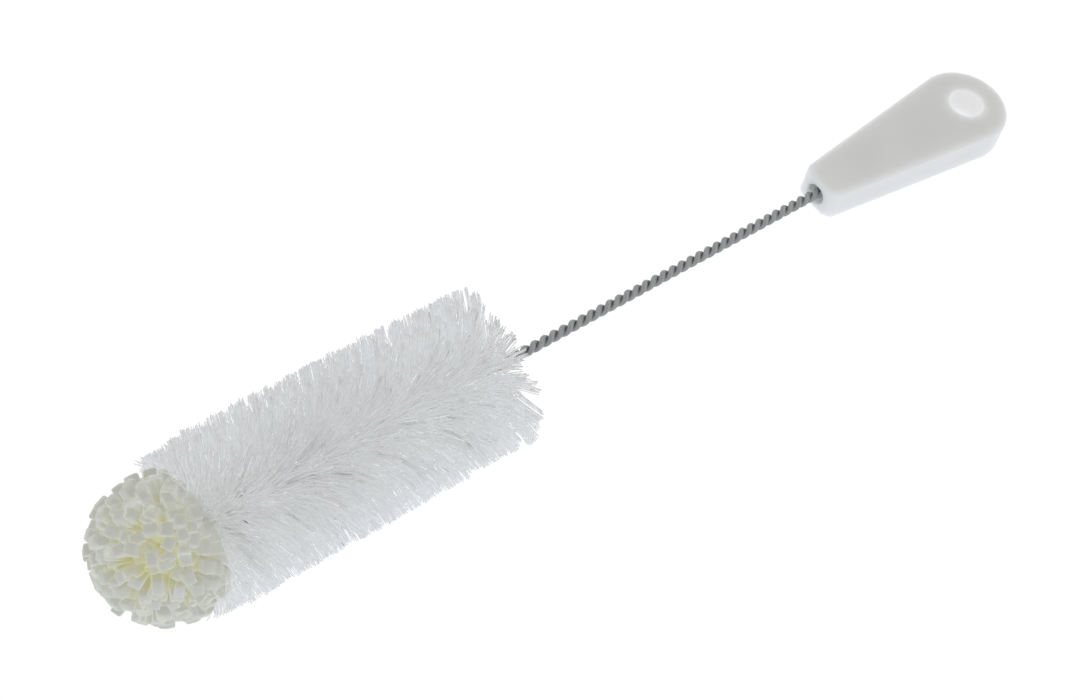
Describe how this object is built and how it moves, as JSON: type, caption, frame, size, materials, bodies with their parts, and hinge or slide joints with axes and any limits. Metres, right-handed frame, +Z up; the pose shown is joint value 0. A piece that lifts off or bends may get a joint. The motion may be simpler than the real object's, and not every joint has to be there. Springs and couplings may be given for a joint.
{
  "type": "bottle brush",
  "caption": "Long bottle brush: flat plastic handle with a hanging hole, twisted steel wire stem, round nylon bristle head and a ball of foam strips at the tip.",
  "frame": {"origin": "on the surface the brush lies on, below the middle of its bounding box", "axes": "+X along the brush towards the handle, +Y across it, +Z up; the brush axis slopes down by 5.3 degrees from the tip to the handle"},
  "size_m": [0.3937, 0.0568, 0.0673],
  "materials": {
    "handle_plastic": "moulded white polypropylene, satin gloss",
    "steel_wire": "drawn galvanised wire, dull grey",
    "nylon_bristles": "white nylon filament, slightly glossy",
    "foam": "soft white foam, faintly yellow in its folds"
  },
  "bodies": {
    "root": {"handle": "handle_plastic", "wire": "steel_wire", "bristles": "nylon_bristles", "foam_tip": "foam"}
  },
  "joints": []
}
